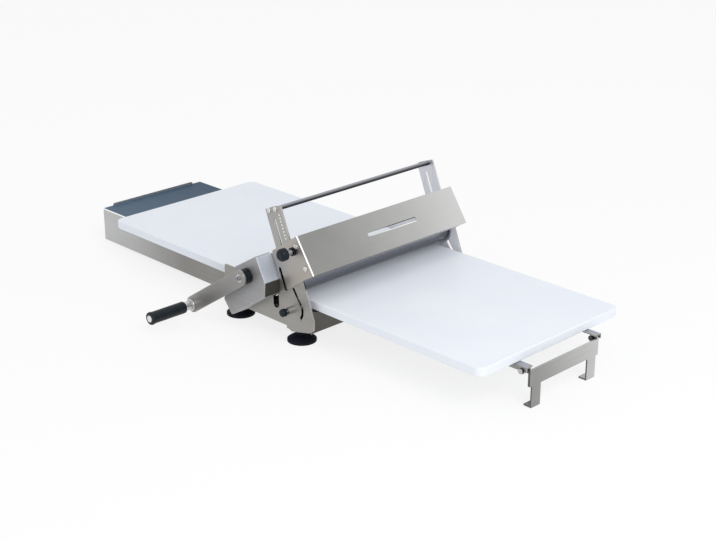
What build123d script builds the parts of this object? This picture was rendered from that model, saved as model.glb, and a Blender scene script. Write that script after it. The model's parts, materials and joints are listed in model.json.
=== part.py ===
from build123d import *
from math import acos, atan2, cos, degrees, hypot, pi, radians, sin, sqrt, tan
import os

# Millimetres. x = 0 at the nip and + along the feed, y = 0 mid-width and - on the crank side, z = 0 on the
# table.

# Sheeting board
BOARD_LENGTH = 1026
BOARD_WIDTH = 380
BOARD_THICK = 17
BOARD_CORNER = 16
BOARD_EDGE = 2
BOARD_UNDER = 80
BOARD_REST = -54

# Gaps and fits
SLIDE_GAP = 0.3
RUN_FIT = 0.05
SIDE_GAP = 14
ARM_GAP = 0.5
END_GAP = 1.5

# Frame
PLATE_THICK = 2
PLATE_BACK = -182
PLATE_FRONT = 74
PLATE_LEAN = 22.5
PLATE_UNDER = 35.8
PLATE_REAR_RISE = 12.8
PLATE_TOE = ((-5, 0), (9, -8.5), (59, 3.5))
PLATE_NOSE = (3, 11.5)
PLATE_WAIST = (2, 9)
PLATE_SHOULDER = 37
PLATE_CREST = (-18, 14)
PLATE_SHELF = (-56, 66)
PLATE_HEEL = -128
PLATE_ROUND = 5
BACKING_INSET = (2, 3)
BACKING_DEPTH = (72, 86)
BACKING_ROUND = 4
FOOT_RADIUS = 28
FOOT_RIM = 4
FOOT_HUB = 10
FOOT_TOP = 16
FOOT_INSET = 27
FOOT_XS = (-172, 6)
BRACKET_UNDER = 29
BRACKET_WIDTH = 24
BRACKET_REACH = 50
BRACKET_HEIGHT = 36
BRACKET_SHEET = 2.5
STUD_RADIUS = 4
NUT_RADIUS = 7.5
NUT_HEIGHT = 6
MEMBER_SHEET = 2.5
FRONT_WEB = 60
REAR_WEB = -146
FLANGE_LENGTH = 40
MEMBER_LIP = 14

# Left table
TABLE_END = -688
TABLE_WIDTH = 272
TABLE_SHEET = 1.5
TABLE_DROP = 72
LIP_WIDTH = 222
LIP_HEIGHT = 5
TABLE_SCREW_BACK = 22
TABLE_SCREW_YS = (-105, -40, 40, 105)

# Rails and folding leg
RAIL_TOP = 16
RAIL_DROP = 9.5
RAIL_SHEET = 2.5
RAIL_END = 484
RAIL_LUG = 6
RAIL_SCREW = 9.5
RAIL_SCREW_XS = (12, 30)
LEG_FRONT = 486
LEG_SHEET = 3
LEG_HALF = 94
LEG_BAR = 31.5
LEG_TOP = 73
LEG_RETURN = 5
LEG_EAR = 5.5
LEG_SPACER = 6.5
LEG_INNER = 64.5
LEG_WIDTH = 23.5
LEG_TOE = 17
PIVOT_BACK = 12.5
PIVOT_Z = 71
PIVOT_RADIUS = 3

# Rollers
LOWER_RADIUS = 22
UPPER_RADIUS = 26
ROLLER_WALL = 4
HUB_LENGTH = 10
NIP_GAP = 5
UPPER_X = 4
UPPER_SHAFT = 8
DRIVE_SHAFT = 7
SUPPORT_X = 35
SUPPORT_SHAFT = 3
SUPPORT_WAY = ((17.6, 17.5), (30, 0.3), (40.6, -12.7), (40.6, -26.7))
SLOT_PLAY = 0.06

# Yoke, in its own axes: u up along its travel and v square to it, from the upper roller's axis
YOKE_TILT = 22
YOKE_TRAVEL = 38
ARM_THICK = 3
ARM_LEFT = -13.4
ARM_WIDTH = 44.9
ARM_TOP = 137.5
SCALE_SLOT_V = 5.5
SCALE_SLOT_TOP = 114
GUIDE_STUD = 2.5
GUIDE_STUD_U = 56
GUIDE_PIN = 3.5
GUIDE_PIN_UV = (-14.7, -13.6)
GUIDE_PIN_SHORT = 0.5
BAR_RADIUS = 4.5
BAR_UV = (133, 16)
BAR_FOOT = 18.4
BAR_FOOT_RIM = 0.5
BAR_FOOT_SHEET = 3

# Roller cover, in its own axes: a down its front face and b back from it
COVER_TOP_X = 28.5
COVER_TOP_RISE = 124
COVER_TILT = 34.3
COVER_FACE = 79
COVER_SHEET = 1.5
COVER_FOLD = 1.2
COVER_RETURN = 30
COVER_LOWER_RETURN = 20
COVER_END_AB = ((77, 27.7), (75.6, 108.2), (53.4, 93.5), (0, 81.6))
COVER_SLOT = (-44, 80)
COVER_SLOT_RADIUS = 3.3
CLAMP_AB = (21.1, 23.9)
CLAMP_LOBE = 10.5
COVER_SCREWS_AB = ((16, 11.8), (60, 10.5))

# Gears
MODULE = 2
PRESSURE = radians(20)
BACKLASH = 0.25
PINION_TEETH = 18
REDUCTION_TEETH = 22
TRANSFER_TEETH = 38
DRIVE_TEETH = 24
INNER_GEAR = 5.5
OUTER_GEAR = 12
CRANK_X = -68.7
CRANK_RISE = 30.3
TRAIN_ANGLE = radians(247)
CRANK_SHAFT = 7.5
GEAR_SHAFT = 6
BUSH_WALL = 3.5
BUSH_FLANGE = 3
BUSH_RIM = 1.5

# Gear guard and crank
GUARD_DEPTH = 35
GUARD_SHEET = 1.5
GUARD_CORNERS = ((-46.7, 73.8), (-21.7, 26.3), (-24.2, -2.2), (-121.7, -65.7), (-143.7, -38.7), (-107.2, 36.8))
GUARD_LUG = 22
CRANK_RADIUS = 174.7
CRANK_ANGLE = radians(213.4)
CRANK_WIDTH = 32
CRANK_THICK = 4
CRANK_SCREW = 12
COLLAR_RADIUS = 14.5
COLLAR_LENGTH = 17
BUSH_PROUD = 2
OUTER_GEAR_GAP = 13
GRIP_RADIUS = 11.7
GRIP_BEAD = (12.6, 7)
GRIP_LENGTH = 82
SPINDLE_RADIUS = 5
FERRULE = (12, 4.5)
FERRULE_NECK = (8.5, 19)
CAP_RADIUS = 6.5
CAP_LENGTH = 1.5

# Hand parts
CLAMP_BOLT = 4
CLAMP_SLEEVE = 20.5
CLAMP_COLLAR = (8, 6)
CLAMP_KNOB = (11.8, 14)
CLAMP_DOME = 6
CATCH_X = 14.3
CATCH_RISE = -6.7
CATCH_PIN = 2.5
CATCH_BODY = 15.5
CATCH_KNOB = (7.5, 10)
CATCH_DOME = 4

# Screws: shank radius, head radius, head height
M5 = (2.5, 4.5, 3)
SOCKET = (1.9, 1.6)
HEAD_ROUND = 0.8
M6_HEAD = (5, 4)

# Worked out from the sizes above
BOARD_TOP = BOARD_UNDER + BOARD_THICK
BED = BOARD_UNDER - SLIDE_GAP
PLATE_IN = BOARD_WIDTH / 2 + SIDE_GAP
PLATE_OUT = PLATE_IN + PLATE_THICK
ARM_OUT = PLATE_IN - ARM_GAP
ARM_IN = ARM_OUT - ARM_THICK
FLANGE_OUT = PLATE_OUT + COVER_SHEET
UPPER_Z = BOARD_TOP + NIP_GAP + UPPER_RADIUS
LOWER_Z = BED - LOWER_RADIUS
CRANK_AXIS = (CRANK_X, BOARD_TOP + CRANK_RISE)
OUTER_CENTRES = MODULE * (PINION_TEETH + REDUCTION_TEETH) / 2
INNER_CENTRES = MODULE * (TRANSFER_TEETH + DRIVE_TEETH) / 2
GEAR_AXIS = (
    CRANK_AXIS[0] + OUTER_CENTRES * cos(TRAIN_ANGLE),
    CRANK_AXIS[1] + OUTER_CENTRES * sin(TRAIN_ANGLE),
)
DRIVE_X = GEAR_AXIS[0] + sqrt(INNER_CENTRES**2 - (GEAR_AXIS[1] - LOWER_Z) ** 2)
DRIVE_AXIS = (DRIVE_X, LOWER_Z)
SUPPORT_AXIS = (SUPPORT_X, LOWER_Z)
GEAR_FACE = BOARD_WIDTH / 2 + END_GAP
GUARD_FRONT = PLATE_OUT + GUARD_DEPTH
COLLAR_FACE = GUARD_FRONT + BUSH_PROUD
ARM_BACK = COLLAR_FACE + COLLAR_LENGTH
ARM_FACE = ARM_BACK + CRANK_THICK
GRIP_START = ARM_FACE + FERRULE_NECK[1]
GRIP_END = GRIP_START + GRIP_LENGTH
CRANK_END = (
    CRANK_AXIS[0] + CRANK_RADIUS * cos(CRANK_ANGLE),
    CRANK_AXIS[1] + CRANK_RADIUS * sin(CRANK_ANGLE),
)
CATCH_AXIS = (CATCH_X, BOARD_UNDER + CATCH_RISE)
PIVOT = (LEG_FRONT - PIVOT_BACK, PIVOT_Z)
RAIL_OUTER = LEG_HALF + LEG_SPACER + RAIL_SHEET
FOOT_Y = PLATE_IN - FOOT_INSET
REACH_NEAR = GRIP_END + CAP_LENGTH
REACH_FAR = FLANGE_OUT + M5[2]
ORIGIN = Pos(-(TABLE_END + LEG_FRONT) / 2, (REACH_NEAR - REACH_FAR) / 2, 0)


def yoke(u, v):
    """Point in the x-z plane from the yoke's own axes."""
    t = radians(YOKE_TILT)
    return UPPER_X - u * sin(t) + v * cos(t), UPPER_Z + u * cos(t) + v * sin(t)


def cover(a, b):
    """Point in the x-z plane from the cover's own axes."""
    t = radians(COVER_TILT)
    return (
        COVER_TOP_X + a * sin(t) - b * cos(t),
        BOARD_TOP + COVER_TOP_RISE - a * cos(t) - b * sin(t),
    )


def face(*points):
    return make_face(Polyline(*points, close=True))


def disc(radius, at):
    return Pos(*at) * Circle(radius)


def obround(radius, start, end):
    """Round-ended slot between two centres."""
    (x0, z0), (x1, z1) = start, end
    turn = degrees(atan2(z1 - z0, x1 - x0))
    length = hypot(x1 - x0, z1 - z0)
    return Pos((x0 + x1) / 2, (z0 + z1) / 2) * Rot(0, 0, turn) * SlotCenterToCenter(length, 2 * radius)


def slab(sketch, y0, y1):
    """Sketch in the x-z plane made solid between two y values."""
    return Pos(0, max(y0, y1), 0) * extrude(Plane.XZ * sketch, abs(y1 - y0))


def rod(radius, at, y0, y1):
    return Pos(at[0], (y0 + y1) / 2, at[1]) * Rot(90, 0, 0) * Cylinder(radius, abs(y1 - y0))


def upright(radius, x, y, z0, z1):
    return Pos(x, y, (z0 + z1) / 2) * Cylinder(radius, z1 - z0)


def block(x0, x1, y0, y1, z0, z1):
    return Pos((x0 + x1) / 2, (y0 + y1) / 2, (z0 + z1) / 2) * Box(x1 - x0, y1 - y0, z1 - z0)


def other_side(shape):
    return mirror(shape, about=Plane.XZ)


def both(shape):
    return [shape, other_side(shape)]


def side_screw(at, head_face, tip):
    """Screw on the crank side, head outside head_face and tip at tip, both as distances from y = 0."""
    shank, head, height = M5
    cap = rod(head, at, -head_face - height, -head_face)
    cap = fillet(cap.edges().group_by(Axis.Y)[0], HEAD_ROUND)
    cap -= slab(Pos(*at) * RegularPolygon(SOCKET[0], 6), -head_face - height, SOCKET[1] - head_face - height)
    return cap + rod(shank, at, -head_face, -tip)


def gear(teeth, at, y0, y1, bore, phase):
    """Involute spur gear with a tooth pointing along phase."""
    pitch = MODULE * teeth / 2
    base = pitch * cos(PRESSURE)
    tip = pitch + MODULE
    root = pitch - 1.25 * MODULE
    start = max(base, root)
    half = pi / (2 * teeth) - BACKLASH / (2 * pitch) + tan(PRESSURE) - PRESSURE
    flank = []
    for step in range(4):
        radius = start + (tip - start) * step / 3
        roll = acos(min(1, base / radius))
        flank.append((radius, half - tan(roll) + roll))
    flank.insert(0, (root, flank[0][1]))
    points = []
    for tooth in range(teeth):
        middle = phase + 2 * pi * tooth / teeth
        for radius, turn in flank:
            points.append((radius * cos(middle - turn), radius * sin(middle - turn)))
        for radius, turn in reversed(flank):
            points.append((radius * cos(middle + turn), radius * sin(middle + turn)))
    return slab(Pos(*at) * (face(*points) - Circle(bore)), y0, y1)


def side_plate_outline():
    lean = tan(radians(PLATE_LEAN))
    shoulder = UPPER_Z + PLATE_SHOULDER
    waist = LOWER_Z + PLATE_WAIST[1]
    rear_top = BOARD_TOP + PLATE_REAR_RISE
    lower = face(
        (PLATE_BACK, PLATE_UNDER),
        *[(x, PLATE_UNDER + rise) for x, rise in PLATE_TOE],
        (PLATE_FRONT - PLATE_NOSE[0], PLATE_UNDER + PLATE_NOSE[1]),
        (PLATE_FRONT - PLATE_WAIST[0], waist),
        (PLATE_FRONT - lean * (shoulder - waist), shoulder),
        (PLATE_CREST[0], shoulder + PLATE_CREST[1]),
        (PLATE_SHELF[0], BOARD_TOP + PLATE_SHELF[1]),
        (PLATE_HEEL, rear_top),
        (PLATE_BACK, rear_top),
    )
    high, behind = BACKING_INSET
    low = COVER_FACE - high
    high_depth, low_depth = BACKING_DEPTH
    upper = face(cover(high, behind), cover(low, behind), cover(low, low_depth), cover(high, high_depth))
    return fillet(lower.vertices(), PLATE_ROUND) + fillet(upper.vertices(), BACKING_ROUND)


def foot_bracket(x):
    """Angle inside the crank side's plate that carries one foot."""
    x0, x1 = x - BRACKET_WIDTH / 2, x + BRACKET_WIDTH / 2
    top = BRACKET_UNDER + BRACKET_HEIGHT
    bracket = block(x0, x1, -PLATE_IN, BRACKET_SHEET - PLATE_IN, BRACKET_UNDER, top)
    bracket += block(x0, x1, -PLATE_IN, BRACKET_REACH - PLATE_IN, BRACKET_UNDER, BRACKET_UNDER + BRACKET_SHEET)
    hole_top = BRACKET_UNDER + BRACKET_SHEET
    return bracket - upright(STUD_RADIUS + SLIDE_GAP, x, -FOOT_Y, BRACKET_UNDER, hole_top)


def support_slot():
    """Wavy slot that the support roller's journal runs down into."""
    path = [(x, BOARD_TOP + rise) for x, rise in SUPPORT_WAY] + [SUPPORT_AXIS]
    radius = SUPPORT_SHAFT + SLOT_PLAY
    return [obround(radius, start, end) for start, end in zip(path, path[1:])]


def side_plate(crank_side):
    """Plate on the crank side, with the drive's holes only where it is the crank side's own."""
    sketch = side_plate_outline()
    sketch -= support_slot()
    sketch -= guide_slot(GUIDE_PIN + SLOT_PLAY)
    sketch -= disc(GUIDE_STUD, yoke(GUIDE_STUD_U, SCALE_SLOT_V))
    sketch -= [disc(M5[0], cover(*at)) for at in COVER_SCREWS_AB]
    if crank_side:
        sketch -= obround(8, (DRIVE_X, LOWER_Z + 13), (DRIVE_X, LOWER_Z + 34))
        sketch -= disc(CRANK_SHAFT + BUSH_WALL, CRANK_AXIS)
        sketch -= disc(GEAR_SHAFT + BUSH_WALL, GEAR_AXIS)
        sketch -= disc(CATCH_PIN + 2, CATCH_AXIS)
        sketch -= disc(CLAMP_BOLT + RUN_FIT, cover(*CLAMP_AB))
        sketch -= [disc(M5[0], at) for at in guard_screw_points()]
    return slab(sketch, -PLATE_OUT, -PLATE_IN)


def guide_slot(radius):
    """Slot along the yoke's travel for its guide pin."""
    u, v = GUIDE_PIN_UV
    return obround(radius, yoke(u - SLIDE_GAP, v), yoke(u + YOKE_TRAVEL + SLIDE_GAP, v))


def cross_member(web, flange_top, toward, half_flange, bottom):
    """Folded sheet between the side plates, its flange pointing along toward."""
    sheet = MEMBER_SHEET
    web_x = sorted((web, web + toward * sheet))
    flange_x = sorted((web, web + toward * FLANGE_LENGTH))
    foot_x = sorted((web, web + toward * MEMBER_LIP))
    member = block(*web_x, -PLATE_IN, PLATE_IN, bottom, flange_top)
    member += block(*flange_x, -half_flange, half_flange, flange_top - sheet, flange_top)
    return member + block(*foot_x, -half_flange, half_flange, bottom, bottom + sheet)


def left_table():
    half = TABLE_WIDTH / 2
    low = BED - TABLE_DROP
    outer = face((-half, low), (-half, BED), (half, BED), (half, low))
    outer = fillet(outer.vertices().group_by(Axis.Y)[-1], 3)
    inner_half = half - TABLE_SHEET
    top = BED - TABLE_SHEET
    inner = face((-inner_half, low - 1), (-inner_half, top), (inner_half, top), (inner_half, low - 1))
    inner = fillet(inner.vertices().group_by(Axis.Y)[-1], 3 - TABLE_SHEET)
    length = REAR_WEB - MEMBER_SHEET - ARM_GAP - TABLE_END
    table = Pos(TABLE_END, 0, 0) * extrude(Plane.YZ * (outer - inner), length)
    lip = block(TABLE_END, TABLE_END + TABLE_SHEET, -LIP_WIDTH / 2, LIP_WIDTH / 2, top, BED + LIP_HEIGHT)
    table += fillet(lip.edges().filter_by(Axis.X).group_by(Axis.Z)[-1], LIP_HEIGHT - 1)
    for x, y in table_screw_points():
        table -= upright(M5[0], x, y, top - 1, BED + 1)
    return table


def table_screw_points():
    return [(REAR_WEB - TABLE_SCREW_BACK, y) for y in TABLE_SCREW_YS]


def rail():
    """Crank-side rail: a shallow angle with its flange outside and a lug for the leg's pivot."""
    start = FRONT_WEB + MEMBER_SHEET + ARM_GAP
    inside = RAIL_SHEET - RAIL_OUTER
    bar = block(start, RAIL_END, -RAIL_OUTER, RAIL_TOP - RAIL_OUTER, BED - RAIL_SHEET, BED)
    bar += block(start, RAIL_END, -RAIL_OUTER, inside, BED - RAIL_DROP, BED)
    bar = fillet(bar.edges().filter_by(Axis.X).group_by(Axis.Y)[0].group_by(Axis.Z)[-1], 2)
    for x, y in rail_screw_points():
        bar -= upright(M5[0], x, y, BED - RAIL_SHEET - 1, BED + 1)
    bar += rod(RAIL_LUG, PIVOT, -RAIL_OUTER, inside)
    return bar - rod(PIVOT_RADIUS, PIVOT, -RAIL_OUTER, inside)


def rail_screw_points():
    return [(FRONT_WEB + reach, RAIL_SCREW - RAIL_OUTER) for reach in RAIL_SCREW_XS]


def flat_screw(x, y, under, tip):
    """Screw standing up through a flange, its head below."""
    shank, head, height = M5
    return upright(head, x, y, under - height, under) + upright(shank, x, y, under, tip)


def leg_bracket():
    back = LEG_FRONT - LEG_SHEET
    low = LEG_TOP - LEG_BAR
    bracket = block(back, LEG_FRONT, -LEG_HALF, LEG_HALF, low, LEG_TOP)
    for leg in both(block(back, LEG_FRONT, -LEG_INNER - LEG_WIDTH, -LEG_INNER, 0, LEG_TOP)):
        bracket += leg
    for toe in both(block(LEG_FRONT - LEG_TOE, LEG_FRONT, -LEG_INNER - LEG_WIDTH, -LEG_INNER, 0, LEG_SHEET)):
        bracket += toe
    inside = LEG_SHEET - LEG_HALF
    ear = block(LEG_FRONT - LEG_RETURN, LEG_FRONT, -LEG_HALF, inside, low, LEG_TOP)
    ear += slab(obround(LEG_EAR, PIVOT, (LEG_FRONT - LEG_EAR, PIVOT_Z)), -LEG_HALF, inside)
    ear -= rod(PIVOT_RADIUS + RUN_FIT, PIVOT, -LEG_HALF, inside)
    for side in both(ear):
        bracket += side
    return bracket


def leg_bolt():
    """Pivot bolt: head outside the rail's lug, a spacer between lug and ear, and a nut inside the ear."""
    radius, height = M6_HEAD
    nut = LEG_SHEET + ARM_GAP - LEG_HALF
    head = rod(radius, PIVOT, -RAIL_OUTER - height, -RAIL_OUTER)
    bolt = fillet(head.edges().group_by(Axis.Y)[0], HEAD_ROUND) + rod(PIVOT_RADIUS, PIVOT, -RAIL_OUTER, nut)
    bolt += rod(radius, PIVOT, RAIL_SHEET - RAIL_OUTER, -LEG_HALF - ARM_GAP)
    return bolt + rod(radius, PIVOT, nut, nut + height)


def foot(x, y):
    """Flat rubber cup foot, hollow underneath, with a hub round its stud."""
    rim, inner = FOOT_RADIUS, FOOT_RADIUS - 6
    with BuildPart() as cup:
        with BuildSketch(Plane.XZ):
            with BuildLine():
                Polyline((0, 2), (inner - 3, 2), (inner, 0), (rim, 0), (rim, FOOT_RIM))
                Spline((rim, FOOT_RIM), (FOOT_HUB + 7, FOOT_TOP - 5), (FOOT_HUB, FOOT_TOP - 2))
                Polyline((FOOT_HUB, FOOT_TOP - 2), (FOOT_HUB, FOOT_TOP), (0, FOOT_TOP), (0, 2))
            make_face()
        revolve(axis=Axis.Z)
    return Pos(x, y, 0) * cup.part - upright(STUD_RADIUS, x, y, FOOT_TOP - 8, FOOT_TOP)


def foot_stud(x, y):
    """Stud with a nut under the bracket and one on it."""
    over = BRACKET_UNDER + BRACKET_SHEET
    stud = upright(STUD_RADIUS, x, y, FOOT_TOP - 8, over + NUT_HEIGHT + 3)
    for z in (BRACKET_UNDER - NUT_HEIGHT, over):
        stud += Pos(x, y, z) * extrude(RegularPolygon(NUT_RADIUS, 6), NUT_HEIGHT)
    return stud


def foot_points():
    return [(x, y) for x in FOOT_XS for y in (-FOOT_Y, FOOT_Y)]


def roller(radius, at, half_near, half_far):
    return rod(radius, at, -half_near, half_far) - rod(radius - ROLLER_WALL, at, -half_near, half_far)


def roller_shaft(radius, tube, at, ends, near, far):
    """Shaft with a hub pressed into each end of the roller's tube."""
    shaft = rod(radius, at, -ends, ends)
    for start in (-near, far - HUB_LENGTH):
        shaft += rod(tube - ROLLER_WALL, at, start, start + HUB_LENGTH)
    return shaft


def yoke_arm(crank_side):
    """Arm and roller carrier in one plate, on the crank side."""
    right = ARM_LEFT + ARM_WIDTH
    strip = face(yoke(0, ARM_LEFT), yoke(0, right), yoke(ARM_TOP, right), yoke(ARM_TOP, ARM_LEFT))
    sketch = fillet(strip.vertices().group_by(Axis.Y)[-1], 3) + disc(right, yoke(0, 0))
    sketch += disc(GUIDE_PIN + 6, yoke(*GUIDE_PIN_UV)) + obround(12, yoke(*GUIDE_PIN_UV), yoke(0, 0))
    bolt_u, bolt_v = clamp_uv()
    if crank_side:
        clamp_low = yoke(bolt_u - YOKE_TRAVEL - SLIDE_GAP, bolt_v)
        clamp_top = yoke(bolt_u + SLIDE_GAP, bolt_v)
        sketch += obround(CLAMP_LOBE, clamp_low, clamp_top)
        sketch -= obround(CLAMP_BOLT + SLIDE_GAP, clamp_low, clamp_top)
    slot_low = yoke(GUIDE_STUD_U - YOKE_TRAVEL - SLIDE_GAP, SCALE_SLOT_V)
    sketch -= obround(GUIDE_STUD + SLOT_PLAY, slot_low, yoke(SCALE_SLOT_TOP, SCALE_SLOT_V))
    sketch -= disc(UPPER_SHAFT + BUSH_WALL, yoke(0, 0))
    sketch -= disc(GUIDE_PIN, yoke(*GUIDE_PIN_UV))
    sketch -= [disc(M5[0], at) for at in bar_screw_points()]
    return slab(sketch, -ARM_OUT, -ARM_IN)


def clamp_uv():
    """Clamp bolt's place in the yoke's axes."""
    x, z = cover(*CLAMP_AB)
    t = radians(YOKE_TILT)
    x, z = x - UPPER_X, z - UPPER_Z
    return z * cos(t) - x * sin(t), x * cos(t) + z * sin(t)


def bar_screw_points():
    u, v = BAR_UV
    return [yoke(u, v), yoke(u, v - BAR_FOOT)]


def handle_bar():
    bar = rod(BAR_RADIUS, yoke(*BAR_UV), -ARM_IN, ARM_IN)
    near_foot = slab(obround(BAR_RADIUS + BAR_FOOT_RIM, *bar_screw_points()), -ARM_IN, BAR_FOOT_SHEET - ARM_IN)
    for bar_foot in both(near_foot):
        bar += bar_foot
    for at in bar_screw_points():
        bar -= rod(M5[0], at, -ARM_IN, BAR_FOOT_SHEET - ARM_IN)
        bar -= rod(M5[0], at, ARM_IN - BAR_FOOT_SHEET, ARM_IN)
    return bar


def bush(at, shaft, start, end, flange_end):
    """Plain bush between two y values with its flange from end to flange_end."""
    outer = shaft + BUSH_WALL
    sleeve = rod(outer, at, start, end) + rod(outer + BUSH_FLANGE, at, end, flange_end)
    return sleeve - rod(shaft + RUN_FIT, at, start, flange_end)


def cover_end(crank_side):
    """End flange of the cover outside the crank side's plate."""
    end = face(cover(0, 0), cover(COVER_FACE, 0), *[cover(a, b) for a, b in COVER_END_AB])
    end -= guide_slot(GUIDE_PIN + SLOT_PLAY)
    end -= disc(GUIDE_STUD, yoke(GUIDE_STUD_U, SCALE_SLOT_V))
    end -= [disc(M5[0], cover(*at)) for at in COVER_SCREWS_AB]
    if crank_side:
        end -= disc(CLAMP_BOLT + RUN_FIT, cover(*CLAMP_AB))
    return slab(end, -FLANGE_OUT, -PLATE_OUT)


def roller_cover():
    sheet, high = COVER_SHEET, COVER_FACE
    half = BOARD_WIDTH / 2 + 5
    low = high - sheet
    front = face(cover(0, 0), cover(high, 0), cover(high, sheet), cover(0, sheet))
    top = face(cover(0, 0), cover(sheet, 0), cover(sheet, COVER_RETURN), cover(0, COVER_RETURN))
    under = face(
        cover(low, 0), cover(high, 0), cover(high, COVER_LOWER_RETURN), cover(low, COVER_LOWER_RETURN)
    )
    shell = slab(front, -FLANGE_OUT, FLANGE_OUT) + slab(top, -half, half) + slab(under, -half, half)
    shell += cover_end(True) + other_side(cover_end(False))
    outside = shell.faces().sort_by(SortBy.AREA)[-1]
    shell = fillet(outside.outer_wire().edges(), COVER_FOLD)
    middle = cover(high / 2, 0)
    cut_plane = Plane(
        origin=(middle[0], sum(COVER_SLOT) / 2, middle[1]),
        x_dir=(0, 1, 0),
        z_dir=(cos(radians(COVER_TILT)), 0, sin(radians(COVER_TILT))),
    )
    slot = SlotCenterToCenter(COVER_SLOT[1] - COVER_SLOT[0], 2 * COVER_SLOT_RADIUS)
    return shell - extrude(cut_plane * slot, 5, both=True)


def guard_points():
    return [(x, BOARD_TOP + rise) for x, rise in GUARD_CORNERS]


def guard_screw_points():
    """Lug screws a little way in from three corners of the guard."""
    points = guard_points()
    centre_x = sum(x for x, z in points) / len(points)
    centre_z = sum(z for x, z in points) / len(points)
    inset = []
    for x, z in points[3:]:
        reach = 13 / hypot(centre_x - x, centre_z - z)
        inset.append((x + (centre_x - x) * reach, z + (centre_z - z) * reach))
    return inset


def gear_guard():
    points = guard_points()
    outline = fillet(face(*points).vertices(), 4)
    inside = offset(outline, -GUARD_SHEET)
    guard = slab(outline, -GUARD_FRONT, -PLATE_OUT)
    guard = fillet(guard.edges().group_by(Axis.Y)[0], GUARD_SHEET - 0.5)
    guard -= slab(inside, -GUARD_FRONT + GUARD_SHEET, -PLATE_OUT)
    for corner, at in zip(points[3:], guard_screw_points()):
        lug = inside & disc(GUARD_LUG, corner)
        guard += slab(lug - disc(M5[0], at), -PLATE_OUT - GUARD_SHEET, -PLATE_OUT)
    return guard - rod(CRANK_SHAFT + BUSH_WALL, CRANK_AXIS, -GUARD_FRONT, -GUARD_FRONT + GUARD_SHEET)


def guard_screw(at):
    shank, head, height = M5
    tip = PLATE_OUT + GUARD_SHEET + 3
    return rod(head, at, -PLATE_IN, -PLATE_IN + height) + rod(shank, at, -tip, -PLATE_IN)


def crank_arm():
    arm = slab(obround(CRANK_WIDTH / 2, CRANK_AXIS, CRANK_END), -ARM_FACE, -ARM_BACK)
    arm = fillet(arm.edges().group_by(Axis.Y)[0], 1)
    arm -= rod(CRANK_SHAFT, CRANK_AXIS, -ARM_FACE - 1, -ARM_BACK + 1)
    return arm - rod(SPINDLE_RADIUS, CRANK_END, -ARM_FACE - 1, -ARM_BACK + 1)


def grip_spindle():
    spindle = rod(SPINDLE_RADIUS, CRANK_END, -GRIP_END, -ARM_BACK)
    spindle += rod(FERRULE_NECK[0], CRANK_END, -GRIP_START + SLIDE_GAP, -ARM_FACE)
    ferrule = rod(FERRULE[0], CRANK_END, -ARM_FACE - FERRULE[1], -ARM_FACE)
    return spindle + fillet(ferrule.edges().group_by(Axis.Y)[0], 1.5)


def grip():
    end = SLIDE_GAP - GRIP_END
    body = rod(GRIP_RADIUS, CRANK_END, end, -GRIP_START)
    body = fillet(body.edges().group_by(Axis.Y)[-1], 3)
    bead = rod(GRIP_BEAD[0], CRANK_END, end, end + GRIP_BEAD[1])
    body += fillet(bead.edges().filter_by(GeomType.CIRCLE), 2.5)
    return body - rod(SPINDLE_RADIUS + RUN_FIT, CRANK_END, -GRIP_END, -GRIP_START)


def grip_cap():
    cap = rod(CAP_RADIUS, CRANK_END, -GRIP_END - CAP_LENGTH, -GRIP_END)
    return fillet(cap.edges().group_by(Axis.Y)[0], CAP_LENGTH / 2)


def clamp_bolt():
    at = cover(*CLAMP_AB)
    head = rod(CLAMP_BOLT + 4, at, -ARM_IN + 0.1, -ARM_IN + 4)
    return head + rod(CLAMP_BOLT, at, -FLANGE_OUT - CLAMP_SLEEVE - CLAMP_KNOB[1] + 3, -ARM_IN + 1)


def clamp_sleeve():
    at = cover(*CLAMP_AB)
    end = FLANGE_OUT + CLAMP_SLEEVE - SLIDE_GAP
    radius, length = CLAMP_COLLAR
    collar = rod(radius, at, -FLANGE_OUT - length, -FLANGE_OUT)
    sleeve = fillet(collar.edges().group_by(Axis.Y)[0], 1) + rod(CLAMP_BOLT + 1.5, at, -end, -FLANGE_OUT)
    return sleeve - rod(CLAMP_BOLT, at, -end, -FLANGE_OUT)


def clamp_knob():
    at = cover(*CLAMP_AB)
    radius, length = CLAMP_KNOB
    start = FLANGE_OUT + CLAMP_SLEEVE
    knob = rod(radius, at, -start - length, -start)
    knob = fillet(knob.edges().group_by(Axis.Y)[0], CLAMP_DOME)
    return knob - rod(CLAMP_BOLT + RUN_FIT, at, -start - length + 2.5, -start + 1)


def catch_body():
    at = CATCH_AXIS
    end = PLATE_OUT + CATCH_BODY
    body = rod(CATCH_PIN + 4.5, at, -end, -PLATE_OUT) + rod(CATCH_PIN + 2, at, -PLATE_OUT, -PLATE_IN)
    body -= rod(CATCH_PIN + RUN_FIT, at, -end, -PLATE_IN)
    return body - rod(CATCH_PIN + 2.5, at, -end + 2, -PLATE_OUT - 2)


def catch_pin():
    at = CATCH_AXIS
    pin = rod(CATCH_PIN, at, -PLATE_OUT - CATCH_BODY - CATCH_KNOB[1] - 2, -GEAR_FACE - 1)
    return pin + rod(CATCH_PIN + 2.3, at, -PLATE_OUT - 3.4, -PLATE_OUT - 2.2)


def catch_spring():
    start = PLATE_OUT + 3.5
    end = PLATE_OUT + CATCH_BODY - 2.1
    tube = rod(CATCH_PIN + 2.1, CATCH_AXIS, -end, -start)
    return tube - rod(CATCH_PIN + 1.1, CATCH_AXIS, -end, -start)


def catch_knob():
    radius, length = CATCH_KNOB
    start = PLATE_OUT + CATCH_BODY + 4
    knob = rod(radius, CATCH_AXIS, -start - length, -start)
    knob = fillet(knob.edges().group_by(Axis.Y)[0], CATCH_DOME)
    return knob - rod(CATCH_PIN, CATCH_AXIS, -PLATE_OUT - CATCH_BODY - length - 2, -start)


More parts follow.
